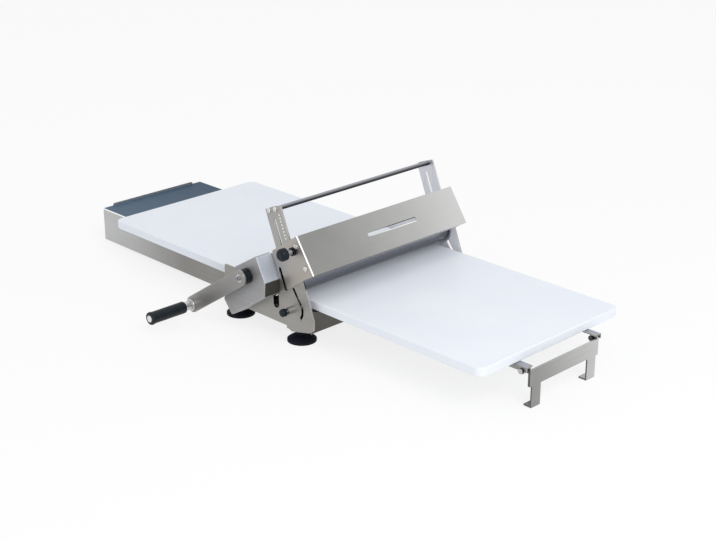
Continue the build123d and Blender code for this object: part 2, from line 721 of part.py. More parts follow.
def drive_bush():
    ring = rod(DRIVE_SHAFT + 5, DRIVE_AXIS, -PLATE_IN, -GEAR_FACE - INNER_GEAR - SLIDE_GAP)
    return ring - rod(DRIVE_SHAFT + RUN_FIT, DRIVE_AXIS, -PLATE_IN, -GEAR_FACE)


def board():
    reach, half = BOARD_LENGTH / 2, BOARD_WIDTH / 2
    sheet = block(BOARD_REST - reach, BOARD_REST + reach, -half, half, BOARD_UNDER, BOARD_TOP)
    sheet = fillet(sheet.edges().filter_by(Axis.Z), BOARD_CORNER)
    rims = sheet.edges().group_by(Axis.Z)
    return fillet(rims[0] + rims[-1], BOARD_EDGE)


UPPER_AXIS = (UPPER_X, UPPER_Z)
UPPER_HALF = ARM_IN - 2 * END_GAP - SLIDE_GAP
DRIVE_NEAR = GEAR_FACE - 2 * END_GAP
DRIVE_FAR = GEAR_FACE + INNER_GEAR
SUPPORT_HALF = PLATE_IN - 2 * END_GAP
INNER_TOOTH = (-GEAR_FACE - INNER_GEAR, -GEAR_FACE)
OUTER_TOOTH = (-PLATE_OUT - OUTER_GEAR_GAP - OUTER_GEAR, -PLATE_OUT - OUTER_GEAR_GAP)
MESH_ANGLE = -acos((DRIVE_X - GEAR_AXIS[0]) / INNER_CENTRES)
near_guide_stud = rod(GUIDE_STUD, yoke(GUIDE_STUD_U, SCALE_SLOT_V), -FLANGE_OUT, -ARM_IN - SLIDE_GAP)
near_cover_screws = [side_screw(cover(*at), FLANGE_OUT, PLATE_IN) for at in COVER_SCREWS_AB]
near_arm_screws = [side_screw(at, ARM_OUT, ARM_IN - BAR_FOOT_SHEET) for at in bar_screw_points()]
near_guide_pin = rod(GUIDE_PIN, yoke(*GUIDE_PIN_UV), GUIDE_PIN_SHORT - PLATE_OUT, -ARM_IN)
near_upper_bush = bush(UPPER_AXIS, UPPER_SHAFT, -ARM_OUT, -ARM_IN, BUSH_RIM - ARM_IN)
plate_bush = bush(CRANK_AXIS, CRANK_SHAFT, -PLATE_IN, -PLATE_OUT, -PLATE_OUT - BUSH_RIM)
guard_inner = -GUARD_FRONT + GUARD_SHEET
guard_bush = bush(CRANK_AXIS, CRANK_SHAFT, -COLLAR_FACE, guard_inner, guard_inner + BUSH_RIM)
gear_bush = bush(GEAR_AXIS, GEAR_SHAFT, -PLATE_IN, -PLATE_OUT, SLIDE_GAP - PLATE_OUT - OUTER_GEAR_GAP)
member_front = cross_member(FRONT_WEB, BED - RAIL_SHEET, 1, RAIL_OUTER - RAIL_SHEET - ARM_GAP, PLATE_UNDER + 2)
member_rear = cross_member(REAR_WEB, BED - TABLE_SHEET, -1, TABLE_WIDTH / 2 - TABLE_SHEET - 2, PLATE_UNDER + 2)
for x, y in rail_screw_points():
    for side in (y, -y):
        member_front -= upright(M5[0], x, side, BED - RAIL_SHEET - MEMBER_SHEET - 1, BED)
for x, y in table_screw_points():
    member_rear -= upright(M5[0], x, y, BED - TABLE_SHEET - MEMBER_SHEET - 1, BED)

rail_screws = []
for x, y in rail_screw_points():
    rail_screws += both(flat_screw(x, y, BED - RAIL_SHEET - MEMBER_SHEET, BED))

NODES = {
    "near_side_plate": side_plate(True),
    "far_side_plate": other_side(side_plate(False)),
    "front_cross_member": member_front,
    "rear_cross_member": member_rear,
    "left_table": left_table(),
    "near_rail": rail(),
    "far_rail": other_side(rail()),
    "foot_brackets": [piece for x in FOOT_XS for piece in both(foot_bracket(x))],
    "rubber_feet": [foot(x, y) for x, y in foot_points()],
    "foot_studs": [foot_stud(x, y) for x, y in foot_points()],
    "gear_guard": gear_guard(),
    "guard_screws": [guard_screw(at) for at in guard_screw_points()],
    "crank_bushes": [plate_bush, guard_bush],
    "gear_bush": gear_bush,
    "drive_bushes": both(drive_bush()),
    "roller_cover": roller_cover(),
    "cover_screws": near_cover_screws + [other_side(screw) for screw in near_cover_screws],
    "guide_studs": both(near_guide_stud),
    "clamp_bolt": clamp_bolt(),
    "clamp_sleeve": clamp_sleeve(),
    "catch_body": catch_body(),
    "table_screws": [
        flat_screw(x, y, BED - TABLE_SHEET - MEMBER_SHEET, BED) for x, y in table_screw_points()
    ],
    "rail_screws": rail_screws,
    "leg_bolts": both(leg_bolt()),
    "near_arm": yoke_arm(True),
    "far_arm": other_side(yoke_arm(False)),
    "handle_bar": handle_bar(),
    "arm_screws": near_arm_screws + [other_side(screw) for screw in near_arm_screws],
    "guide_pins": both(near_guide_pin),
    "upper_bushes": both(near_upper_bush),
    "upper_roller": roller(UPPER_RADIUS, UPPER_AXIS, UPPER_HALF, UPPER_HALF),
    "upper_roller_shaft": roller_shaft(
        UPPER_SHAFT, UPPER_RADIUS, UPPER_AXIS, ARM_OUT - SLIDE_GAP, UPPER_HALF, UPPER_HALF
    ),
    "drive_roller": roller(LOWER_RADIUS, DRIVE_AXIS, DRIVE_NEAR, DRIVE_FAR),
    "drive_shaft": roller_shaft(
        DRIVE_SHAFT, LOWER_RADIUS, DRIVE_AXIS, PLATE_IN - SLIDE_GAP, DRIVE_NEAR, DRIVE_FAR
    ),
    "drive_gear": gear(DRIVE_TEETH, DRIVE_AXIS, *INNER_TOOTH, DRIVE_SHAFT, MESH_ANGLE + pi + pi / DRIVE_TEETH),
    "support_roller": roller(LOWER_RADIUS, SUPPORT_AXIS, SUPPORT_HALF, SUPPORT_HALF),
    "support_axle": roller_shaft(
        SUPPORT_SHAFT, LOWER_RADIUS, SUPPORT_AXIS, PLATE_OUT, SUPPORT_HALF, SUPPORT_HALF
    ),
    "gear_shaft": rod(GEAR_SHAFT, GEAR_AXIS, OUTER_TOOTH[0] - 1, INNER_TOOTH[1]),
    "reduction_gear": gear(
        REDUCTION_TEETH, GEAR_AXIS, *OUTER_TOOTH, GEAR_SHAFT, TRAIN_ANGLE + pi + pi / REDUCTION_TEETH
    ),
    "transfer_gear": gear(TRANSFER_TEETH, GEAR_AXIS, *INNER_TOOTH, GEAR_SHAFT, MESH_ANGLE),
    "crank_shaft": rod(CRANK_SHAFT, CRANK_AXIS, -ARM_FACE, -PLATE_IN)
    - rod(M5[0], CRANK_AXIS, -ARM_FACE, CRANK_SCREW - ARM_FACE),
    "crank_pinion": gear(PINION_TEETH, CRANK_AXIS, *OUTER_TOOTH, CRANK_SHAFT, TRAIN_ANGLE),
    "crank_collar": rod(COLLAR_RADIUS, CRANK_AXIS, -ARM_BACK, -COLLAR_FACE - SLIDE_GAP)
    - rod(CRANK_SHAFT, CRANK_AXIS, -ARM_BACK, -COLLAR_FACE),
    "crank_arm": crank_arm(),
    "crank_screw": side_screw(CRANK_AXIS, ARM_FACE, ARM_FACE - CRANK_SCREW),
    "grip_spindle": grip_spindle(),
    "grip_cap": grip_cap(),
    "grip": grip(),
    "clamp_knob": clamp_knob(),
    "catch_pin": catch_pin(),
    "catch_spring": catch_spring(),
    "catch_knob": catch_knob(),
    "board": board(),
    "leg_bracket": leg_bracket(),
}

os.makedirs("parts", exist_ok=True)
for name, shape in NODES.items():
    solids = shape if isinstance(shape, list) else [shape]
    placed = [solid for piece in solids for solid in (ORIGIN * piece).solids()]
    export_step(placed[0] if len(placed) == 1 else Compound(placed), f"parts/{name}.step")
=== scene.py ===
import json
import math

import bmesh
import bpy
from mathutils import Matrix, Vector


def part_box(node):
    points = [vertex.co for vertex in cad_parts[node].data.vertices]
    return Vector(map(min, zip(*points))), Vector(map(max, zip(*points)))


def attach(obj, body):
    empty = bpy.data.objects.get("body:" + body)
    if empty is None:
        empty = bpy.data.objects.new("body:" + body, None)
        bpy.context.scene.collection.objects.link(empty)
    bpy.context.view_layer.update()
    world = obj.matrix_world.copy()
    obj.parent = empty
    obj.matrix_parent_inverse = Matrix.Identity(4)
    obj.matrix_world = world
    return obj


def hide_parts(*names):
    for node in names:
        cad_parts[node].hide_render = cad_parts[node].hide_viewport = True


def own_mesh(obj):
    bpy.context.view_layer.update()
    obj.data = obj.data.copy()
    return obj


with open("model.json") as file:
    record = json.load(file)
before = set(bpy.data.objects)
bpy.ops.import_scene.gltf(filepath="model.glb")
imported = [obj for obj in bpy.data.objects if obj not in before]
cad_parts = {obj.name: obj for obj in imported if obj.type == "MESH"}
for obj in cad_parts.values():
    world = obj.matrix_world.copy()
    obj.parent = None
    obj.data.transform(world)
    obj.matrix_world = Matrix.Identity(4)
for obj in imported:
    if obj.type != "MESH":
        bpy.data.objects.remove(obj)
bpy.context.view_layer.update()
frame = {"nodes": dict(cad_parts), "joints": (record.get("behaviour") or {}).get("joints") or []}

NODES = frame["nodes"]
JOINTS = {joint["name"]: joint for joint in frame["joints"]}

# Directions: X along the feed, -Y towards the crank's side and Z up. Sizes and places are in metres
X, Y, Z = Vector((1.0, 0.0, 0.0)), Vector((0.0, 1.0, 0.0)), Vector((0.0, 0.0, 1.0))

# Upper roller's axis at mid-width, and the yoke's own directions along its slide and across it
UPPER_AXIS = sum(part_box("upper_roller"), Vector()) / 2
YOKE_UP = Vector(JOINTS["yoke_slide"]["axis"])
YOKE_ACROSS = Vector((YOKE_UP.z, 0.0, -YOKE_UP.x))

# Near arm, from the upper roller's axis: how far up shade is painted on it, and the row of marks beside its
# slot
ARM_SHADE_HEIGHT, ARM_BLUR = 0.03, 0.002
MARK_TOP, MARK_STEP, MARK_SIDE = 0.121, 0.0064, 0.0215
MARK_COUNT, MARK_SEGMENTS = 8, 20
MARK_RADIUS, MARK_HEIGHT = 0.0019, 0.0002

# Cover: its front's tilt and height, and the width of the painted highlight along the bend at each end and of
# its brightest part
COVER_TILT = math.radians(34.3)
COVER_UP = Vector((-math.sin(COVER_TILT), 0.0, math.cos(COVER_TILT)))
COVER_FACE = 0.079
BEND, BEND_CORE = 0.0032, 0.0024

# Slot in the cover's front: half its width, and the width of the painted highlight and painted shade along
# its edges
SLOT_RADIUS, SLOT_PAINT_WIDTH = 0.0033, 0.001

# Where that painting starts, is full and ends across the width, from its middle
SLOT_PAINT_NEAR, SLOT_PAINT_FULL, SLOT_PAINT_FAR = -0.044, 0.03, 0.081

# Guide slot in the cover's end, from the upper roller's axis: its place across, half its band and its ends
GUIDE_SIDE, GUIDE_BAND = -0.0136, 0.0045
GUIDE_LOW, GUIDE_HIGH = -0.0195, 0.029

# Part of the near plate that has cuts in it, from the upper roller's axis, and the blur at its foot
CUT_BACK, CUT_FRONT = -0.066, 0.046
CUT_LOW, CUT_BLUR = -0.076, 0.001

# Dark collar on the clamp's sleeve: its length, and half the blur at its edge
COLLAR_LENGTH, COLLAR_BLUR = 0.0065, 0.0003

# Stretches of painted light and painted shade, and of the table film's darkening: across the width from its
# middle, and along the table from its end
COVER_PAINTED_LIGHT_STRETCH = (-0.14, 0.2)
LEG_PAINTED_LIGHT_STRETCH = (-0.08, 0.1)
BOLT_PAINTED_SHADE_STRETCH = (-0.05, 0.05)
TABLE_DARKENING = (-0.1, 0.19)
TABLE_PAINTED_SHADE_STRETCH = (0.027, 0.287)

# Reach of the painted highlight on the edges of sheet, of the guard and round the guard's upper facet
SHEET_GLINT = 0.0006
GUARD_GLINT = 0.002
FACET_GLINT = 0.0025

# Width over which a mask fades at its edge
MASK_EDGE = 0.0005

# Coil in the catch body: wire radius, turns, steps in a turn and sides of the wire
SPRING_WIRE, SPRING_TURNS = 0.0004, 6
SPRING_STEPS, SPRING_SIDES = 24, 8

# Cosines between which a face counts as square to a direction, or as leaning towards it
SQUARE, LEANING = (0.7, 0.9), (0.1, 0.3)

# Texture features to a metre: brushing, turning, patches of shade, the board's grain and marks, and the film
BRUSH_ALONG, BRUSH_ACROSS = 5.0, 900.0
TURNING = (8.0, 900.0, 8.0)
CLOUDS, STAINS, WEAR = 5.0, 30.0, 40.0
BOARD_GRAIN, BOARD_CLOUDS = 700.0, 6.0
KNIFE_MARKS = (3.0, 260.0, 3.0)
FILM_GRAIN = (4.0, 300.0, 300.0)

# Spread of the roughness about its own value, on brushed sheet and on turned or moulded pieces
BRUSHED_SPREAD, EVEN_SPREAD = (-0.07, 0.09), (-0.06, 0.1)

# Shares of its tone that turned metal keeps in dark rings and in stains
RING_SHADE, STAIN_SHADE = 0.85, 0.8

# How wear lightens a moulded piece: what its tone is multiplied by, and what is then added
WEAR_GAIN, WEAR_LIFT = 1.5, 0.004

# Tones that are mixed into a finish or laid over parts of it, many of them painted light and painted shade
BLACK = (0.0, 0.0, 0.0)
WHITE = (1.0, 1.0, 1.0)
# Painted highlight, laid on sharp edges, on the cover's bends and slot, round the guard's facet and on the
# table's fold
PAINTED_HIGHLIGHT = (0.95, 0.95, 0.95)
# Painted light that the cover and the leg take on towards the far side
PAINTED_LIGHT_STEEL = (0.62, 0.62, 0.615)
SHADOW = (0.012, 0.012, 0.012)
# Painted light on the cover's end
COVER_END_PAINTED_LIGHT = (0.46, 0.43, 0.395)
# Painted light on the guard's upper facet, and painted shade on its side
GUARD_FACET_PAINTED_LIGHT = (0.58, 0.63, 0.72)
GUARD_SIDE_PAINTED_SHADE = (0.072, 0.07, 0.06)
# Painted light on the far plate's inner face
PLATE_INNER_PAINTED_LIGHT = (0.9, 0.91, 0.95)
# Painted light on the tops of the rails
RAIL_TOP_PAINTED_LIGHT = (0.42, 0.42, 0.46)
# Painted shade on the leg's returns
LEG_RETURN_PAINTED_SHADE = (0.13, 0.13, 0.13)
# Painted shade on the leg bolts
BOLT_PAINTED_SHADE = (0.06, 0.06, 0.062)
# Painted shade on the near arm's lower part
ARM_PAINTED_SHADE = (0.01, 0.01, 0.01)
# Painted light along the top of the handle bar
BAR_TOP_PAINTED_LIGHT = (0.36, 0.37, 0.4)
COLLAR_BLACK = (0.02, 0.025, 0.035)
BOARD_COOL = (0.8, 0.845, 0.93)
BOARD_WARM = (0.84, 0.875, 0.94)
BOARD_SCORED = (0.7, 0.72, 0.76)
# Painted shade along the table
TABLE_PAINTED_SHADE = (0.28, 0.275, 0.262)
SLATE_DARK = (0.042, 0.09, 0.15)
SLATE_LIGHT = (0.06, 0.112, 0.178)
SLATE_FAR = (0.012, 0.045, 0.09)

# Studio: the floor and how far it is lifted to white, the lamp, and the light from all round
FLOOR_HALF, FLOOR_ROUGH, FLOOR_LIFT = 30.0, 0.9, 0.8
FLOOR_TONE = (0.95, 0.95, 0.95)
LAMP_PLACE, LAMP_AIM = Vector((2.4, -0.9, 2.4)), Vector((0.0, 0.0, 0.1))
LAMP_SIZE, LAMP_POWER = (2.0, 1.6), 45.0
WORLD_LIGHT = 0.72

# Camera, fitted to straight edges in the photograph: its angles, distance and aim
CAMERA_AZIMUTH, CAMERA_ELEVATION = math.radians(45.7), math.radians(21.6)
CAMERA_DISTANCE = 2.789
CAMERA_AIM = UPPER_AXIS + Vector((-0.0288, 0.0, -0.0445))

# The camera's focal length and frame width in pixels, and its sensor's width in millimetres
FOCAL_PIXELS, FRAME_PIXELS = 1427.6, 716.0
SENSOR_WIDTH = 36.0


# Shader nodes
def feed(tree, value, target):
    """Link an output to an input, or set the input to a number, a direction or a tone."""
    if isinstance(value, bpy.types.NodeSocket):
        tree.links.new(value, target)
    elif target.type == "RGBA":
        target.default_value = (*value, 1.0)
    else:
        target.default_value = value


def node(tree, kind, inputs=None, **settings):
    """New node with its settings, and what is fed to its inputs by name or number."""
    made = tree.nodes.new(kind)
    for name, value in settings.items():
        setattr(made, name, value)
    for key, value in (inputs or {}).items():
        feed(tree, value, made.inputs[key])
    return made


def new_material(name, **shader_values):
    """Material with plain values on its shader's sockets, named with underscores for spaces."""
    material = bpy.data.materials.new(name)
    material.use_nodes = True
    tree = material.node_tree
    shader = tree.nodes["Principled BSDF"]
    for key, value in shader_values.items():
        feed(tree, value, shader.inputs[key.replace("_", " ")])
    return material, tree, shader


def socket(sockets, name, kind):
    """The socket of a name that carries one kind of value."""
    return next(found for found in sockets if found.name == name and found.type == kind)


def mix(tree, share, first, second):
    """Colour that goes from the first to the second as the share goes from zero to one."""
    made = node(tree, "ShaderNodeMix", data_type="RGBA")
    feed(tree, share, socket(made.inputs, "Factor", "VALUE"))
    feed(tree, first, socket(made.inputs, "A", "RGBA"))
    feed(tree, second, socket(made.inputs, "B", "RGBA"))
    return socket(made.outputs, "Result", "RGBA")


def maths(tree, operation, first, second):
    """Result of an operation on two numbers."""
    return node(tree, "ShaderNodeMath", {0: first, 1: second}, operation=operation).outputs["Value"]


def both(tree, first, second):
    """One where two masks are one."""
    return maths(tree, "MULTIPLY", first, second)


def along(tree, vector, direction):
    """A vector's length along a direction."""
    made = node(tree, "ShaderNodeVectorMath", {0: vector, 1: direction}, operation="DOT_PRODUCT")
    return made.outputs["Value"]


def ramp(tree, value, low, high, start=0.3, end=0.7):
    """Carry a value from the range start to end, by default that of a noise, to the range low to high."""
    ranges = {"From Min": start, "From Max": end, "To Min": low, "To Max": high}
    return node(tree, "ShaderNodeMapRange", {"Value": value, **ranges}).outputs["Result"]


def place(tree):
    """Place on the piece at rest, in the frame."""
    return node(tree, "ShaderNodeTexCoord").outputs["Object"]


def noise(tree, scale, detail, rough=0.6):
    """Noise with a scale on each axis."""
    mapping = node(tree, "ShaderNodeMapping", {"Vector": place(tree), "Scale": scale})
    look = {"Scale": 1.0, "Detail": detail, "Roughness": rough}
    return node(tree, "ShaderNodeTexNoise", {"Vector": mapping.outputs["Vector"], **look}).outputs["Fac"]


def even_noise(tree, scale, detail):
    """Noise with one scale on all axes."""
    return noise(tree, (scale, scale, scale), detail)


def bump(tree, shader, height, strength, distance):
    """Bump a material's surface by a height."""
    made = node(tree, "ShaderNodeBump", {"Height": height, "Strength": strength, "Distance": distance})
    feed(tree, made.outputs["Normal"], shader.inputs["Normal"])


# Masks and what is done with them
def fade(tree, direction, start, end):
    """Zero to one between two places along a direction."""
    return ramp(tree, along(tree, place(tree), direction), 0.0, 1.0, start, end)


def within(tree, direction, low, high):
    """One between two places along a direction."""
    rise = fade(tree, direction, low - MASK_EDGE, low)
    return both(tree, rise, fade(tree, direction, high + MASK_EDGE, high))


def from_middle(start, end):
    """Direction, start and end of a stretch across the width that is given from its middle."""
    return Y, UPPER_AXIS.y + start, UPPER_AXIS.y + end


def faces(tree, direction, start, end):
    """Zero to one as a face turns towards a direction, between two cosines."""
    normal = node(tree, "ShaderNodeNewGeometry").outputs["True Normal"]
    return ramp(tree, along(tree, normal, direction), 0.0, 1.0, start, end)


def cut_walls(tree):
    """One on the walls that a cut leaves in a sheet that stands across Y."""
    return both(tree, faces(tree, Y, start=0.5, end=0.3), faces(tree, -Y, start=0.5, end=0.3))


def edge_glint(tree, reach):
    """One near a sharp edge and zero on the flats, from the rounded normal."""
    rounded = node(tree, "ShaderNodeBevel", {"Radius": reach}, samples=6).outputs["Normal"]
    normal = node(tree, "ShaderNodeNewGeometry").outputs["Normal"]
    return ramp(tree, along(tree, rounded, normal), 1.0, 0.0, start=0.85, end=0.99)


def overlay(material, mask, tone):
    """Lay a tone over a material's colour where the mask is one."""
    tree = material.node_tree
    target = tree.nodes["Principled BSDF"].inputs["Base Color"]
    feed(tree, mix(tree, mask, target.links[0].from_socket, tone), target)


def metal_except(material, mask):
    """Make a material metal all over but where the mask is one."""
    tree = material.node_tree
    feed(tree, maths(tree, "SUBTRACT", 1.0, mask), tree.nodes["Principled BSDF"].inputs["Metallic"])


# Finishes that several pieces share
def vary_roughness(tree, shader, pattern, rough, spread):
    """Let a noise carry a material's roughness to either side of its own value."""
    low, high = spread
    feed(tree, ramp(tree, pattern, rough + low, rough + high), shader.inputs["Roughness"])


def brushed(name, tone, grain_axis, rough=0.42, shift=None, glint=SHEET_GLINT, metal=1.0, depth=0.12):
    """Brushed sheet with its grain along an axis, shifting to another tone along a direction if asked."""
    material, tree, shader = new_material(name, Metallic=metal)
    scale = [BRUSH_ALONG if part else BRUSH_ACROSS for part in grain_axis]
    grain = noise(tree, scale, detail=4.0, rough=0.65)
    cloud = even_noise(tree, CLOUDS, detail=3.0)
    base = tone
    if shift:
        other, *stretch = shift
        base = mix(tree, fade(tree, *stretch), tone, other)
    streaked = mix(tree, ramp(tree, grain, 0.0, depth), base, BLACK)
    softened = mix(tree, ramp(tree, cloud, 0.0, 0.08), streaked, WHITE)
    # Painted highlight on the sharp edges
    feed(tree, mix(tree, edge_glint(tree, glint), softened, PAINTED_HIGHLIGHT), shader.inputs["Base Color"])
    vary_roughness(tree, shader, grain, rough, BRUSHED_SPREAD)
    bump(tree, shader, grain, strength=0.12, distance=0.0004)
    return material


def turned(name, tone, rough=0.25):
    """Turned metal with fine rings round the Y axis."""
    material, tree, shader = new_material(name, Metallic=1.0)
    rings = noise(tree, TURNING, detail=3.0)
    stain = even_noise(tree, STAINS, detail=4.0)
    dark_ring = [c * RING_SHADE for c in tone]
    stained = [c * STAIN_SHADE for c in tone]
    banded = mix(tree, ramp(tree, rings, 0.0, 1.0), dark_ring, tone)
    feed(tree, mix(tree, ramp(tree, stain, 0.0, 0.3), banded, stained), shader.inputs["Base Color"])
    vary_roughness(tree, shader, rings, rough, EVEN_SPREAD)
    bump(tree, shader, rings, strength=0.1, distance=0.0003)
    return material


def moulded(name, tone, rough, pit=1500.0, strength=0.15, gloss=0.5):
    """Moulded plastic, rubber or paint with a fine grain and a little wear."""
    material, tree, shader = new_material(name, Specular_IOR_Level=gloss)
    grain = even_noise(tree, pit, detail=2.0)
    wear = even_noise(tree, WEAR, detail=5.0)
    worn = [min(1.0, c * WEAR_GAIN + WEAR_LIFT) for c in tone]
    share = ramp(tree, wear, 0.0, 0.6, start=0.45, end=0.75)
    feed(tree, mix(tree, share, tone, worn), shader.inputs["Base Color"])
    vary_roughness(tree, shader, wear, rough, EVEN_SPREAD)
    bump(tree, shader, grain, strength, distance=0.0003)
    return material


PLATE_STEEL = brushed("plate_steel", (0.37, 0.358, 0.34), X)
# Plate steel darkened with painted shade, for the front cross member
PAINTED_SHADE_PLATE_STEEL = brushed("painted_shade_plate_steel", (0.07, 0.066, 0.055), Y)
CRANK_STEEL = brushed("crank_steel", (0.32, 0.315, 0.308), X)
# Painted light makes the far arm much paler than the near arm
FAR_ARM_PAINTED_LIGHT_STEEL = brushed("far_arm_painted_light_steel", (0.72, 0.72, 0.75), Z)
TURNED_STEEL = turned("turned_steel", (0.62, 0.615, 0.61))
SHADED_STEEL = turned("shaded_steel", (0.3, 0.31, 0.33))
# Turned steel darkened with painted shade, for the upper roller under the cover
PAINTED_SHADE_ROLLER_STEEL = turned("painted_shade_roller_steel", (0.24, 0.245, 0.27))
# Turned steel darkened with painted shade, for the guide pins at the foot of their slots
PAINTED_SHADE_PIN_STEEL = turned("painted_shade_pin_steel", (0.02, 0.021, 0.023), rough=0.4)
BRIGHT_STEEL = turned("bright_steel", (0.8, 0.8, 0.8), rough=0.18)
# Turned steel darkened with painted shade, for the gears and bushes inside the guard
PAINTED_SHADE_GEAR_STEEL = turned("gear_steel", (0.06, 0.058, 0.055), rough=0.5)
BUSH_BRONZE = turned("bush_bronze", (0.5, 0.36, 0.18), rough=0.35)
BLACK_PLASTIC = moulded("black_plastic", (0.005, 0.009, 0.014), rough=0.34, gloss=0.22)
BLACK_RUBBER = moulded("black_rubber", (0.005, 0.006, 0.013), rough=0.62, pit=900.0, strength=0.3, gloss=0.2)
CAP_PLASTIC = moulded("cap_plastic", (0.78, 0.79, 0.8), rough=0.4)
MARK_PAINT = moulded("mark_paint", (0.82, 0.82, 0.82), rough=0.5)


# Finishes of single pieces
def shade_guide_slot(material):
    """Shadow on the walls of the guide slot in the cover's end."""
    tree = material.node_tree
    side = UPPER_AXIS.dot(YOKE_ACROSS) + GUIDE_SIDE
    level = UPPER_AXIS.dot(YOKE_UP)
    band = within(tree, YOKE_ACROSS, side - GUIDE_BAND, side + GUIDE_BAND)
    slot = both(tree, band, within(tree, YOKE_UP, level + GUIDE_LOW, level + GUIDE_HIGH))
    overlay(material, both(tree, slot, cut_walls(tree)), SHADOW)


def paint_slot_edges(material, corner):
    """Painted highlight along the lower edge of the slot in the cover's front, and painted shade along its
    upper edge.
    """
    tree = material.node_tree
    # The front cuts off this corner of the cover's box, and its middle lies half its slant from the corner
    slant = COVER_FACE * Vector((math.sin(COVER_TILT), 0.0, math.cos(COVER_TILT)))
    level = (corner - slant / 2).dot(COVER_UP)
    near = fade(tree, *from_middle(SLOT_PAINT_NEAR, SLOT_PAINT_FULL))
    stretch = both(tree, near, fade(tree, *from_middle(SLOT_PAINT_FAR + SLOT_PAINT_WIDTH, SLOT_PAINT_FAR)))
    front = both(tree, stretch, faces(tree, X, *LEANING))
    # Painted highlight along the lower edge, painted shade along the upper edge
    for start, tone in ((level - SLOT_RADIUS - SLOT_PAINT_WIDTH, PAINTED_HIGHLIGHT), (level + SLOT_RADIUS, SHADOW)):
        overlay(material, both(tree, front, within(tree, COVER_UP, start, start + SLOT_PAINT_WIDTH)), tone)


def cover_material():
    """Brushed sheet with painted light towards the far side and on its end, and a painted highlight on the
    bend at each end of the front.
    """
    low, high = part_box("roller_cover")
    pale = (PAINTED_LIGHT_STEEL, *from_middle(*COVER_PAINTED_LIGHT_STRETCH))
    material = brushed("cover_steel", (0.26, 0.258, 0.25), Y, shift=pale, depth=0.06)
    tree = material.node_tree
    overlay(material, faces(tree, -Y, *SQUARE), COVER_END_PAINTED_LIGHT)
    shade_guide_slot(material)
    paint_slot_edges(material, high)
    # Painted highlight along the bend at each end of the front
    for edge, inward in ((low.y, 1.0), (high.y, -1.0)):
        end = fade(tree, Y, edge + inward * BEND, edge + inward * BEND_CORE)
        overlay(material, both(tree, end, faces(tree, X, *LEANING)), PAINTED_HIGHLIGHT)
    return material


def guard_material():
    """Brushed sheet with painted light on its upper facet, a painted highlight round that facet's edges, and
    painted shade on its side.
    """
    material = brushed("guard_steel", (0.36, 0.362, 0.37), X, rough=0.5, glint=GUARD_GLINT, metal=0.6)
    tree = material.node_tree
    # Painted light on the upper facet, painted shade on the side, and a painted highlight round the facet
    facet = both(tree, faces(tree, X, start=0.5, end=0.6), faces(tree, Z, start=0.25, end=0.35))
    overlay(material, facet, GUARD_FACET_PAINTED_LIGHT)
    overlay(material, faces(tree, X, start=0.93, end=0.97), GUARD_SIDE_PAINTED_SHADE)
    overlay(material, both(tree, facet, edge_glint(tree, FACET_GLINT)), PAINTED_HIGHLIGHT)
    return material


def leg_material():
    """Brushed sheet with painted light towards the far side and painted shade on its returns."""
    pale = (PAINTED_LIGHT_STEEL, *from_middle(*LEG_PAINTED_LIGHT_STRETCH))
    material = brushed("leg_steel", (0.3, 0.3, 0.295), Y, shift=pale)
    overlay(material, faces(material.node_tree, -Y, start=0.5, end=0.8), LEG_RETURN_PAINTED_SHADE)
    return material


def leg_bolt_material():
    """Turned bolt with painted shade all over but the face of its head on the crank's side, and all over the
    bolts on the far side.
    """
    material = turned("leg_bolt_steel", (0.55, 0.55, 0.545))
    tree = material.node_tree
    overlay(material, faces(tree, -Y, start=0.6, end=0.4), BOLT_PAINTED_SHADE)
    overlay(material, fade(tree, *from_middle(*BOLT_PAINTED_SHADE_STRETCH)), BOLT_PAINTED_SHADE)
    return material


def near_plate_material():
    """Brushed sheet, shadowed on the walls of its slots and holes."""
    material = brushed("near_plate_steel", (0.33, 0.318, 0.295), X)
    tree = material.node_tree
    lengthwise = within(tree, X, UPPER_AXIS.x + CUT_BACK, UPPER_AXIS.x + CUT_FRONT)
    lowest = UPPER_AXIS.z + CUT_LOW
    cuts = both(tree, lengthwise, fade(tree, Z, lowest, lowest + CUT_BLUR))
    overlay(material, both(tree, cuts, cut_walls(tree)), SHADOW)
    return material


def far_plate_material():
    """Brushed sheet whose inner face is matt and carries painted light."""
    material = brushed("far_plate_steel", (0.42, 0.41, 0.39), X)
    inner = faces(material.node_tree, -Y, *SQUARE)
    overlay(material, inner, PLATE_INNER_PAINTED_LIGHT)
    metal_except(material, inner)
    return material


def rail_material():
    """Brushed sheet with painted light on top."""
    material = brushed("rail_steel", (0.26, 0.26, 0.25), X)
    overlay(material, faces(material.node_tree, Z, *SQUARE), RAIL_TOP_PAINTED_LIGHT)
    return material


def near_arm_material():
    """Brushed sheet with painted shade on its lower part, which lies behind the side plate."""
    material = brushed("near_arm_steel", (0.42, 0.415, 0.4), Z)
    top = UPPER_AXIS.dot(YOKE_UP) + ARM_SHADE_HEIGHT
    overlay(material, fade(material.node_tree, YOKE_UP, top + ARM_BLUR, top), ARM_PAINTED_SHADE)
    return material


def bar_material():
    """Dark turned bar with painted light along its upper side."""
    material = turned("bar_steel", (0.07, 0.075, 0.08), rough=0.3)
    overlay(material, faces(material.node_tree, Z, start=0.2, end=0.9), BAR_TOP_PAINTED_LIGHT)
    return material


def sleeve_material():
    """Turned sleeve with a dark collar at the cover."""
    material = turned("sleeve_steel", (0.5, 0.5, 0.52))
    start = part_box("clamp_sleeve")[1].y - COLLAR_LENGTH
    overlay(material, fade(material.node_tree, Y, start - COLLAR_BLUR, start + COLLAR_BLUR), COLLAR_BLACK)
    return material


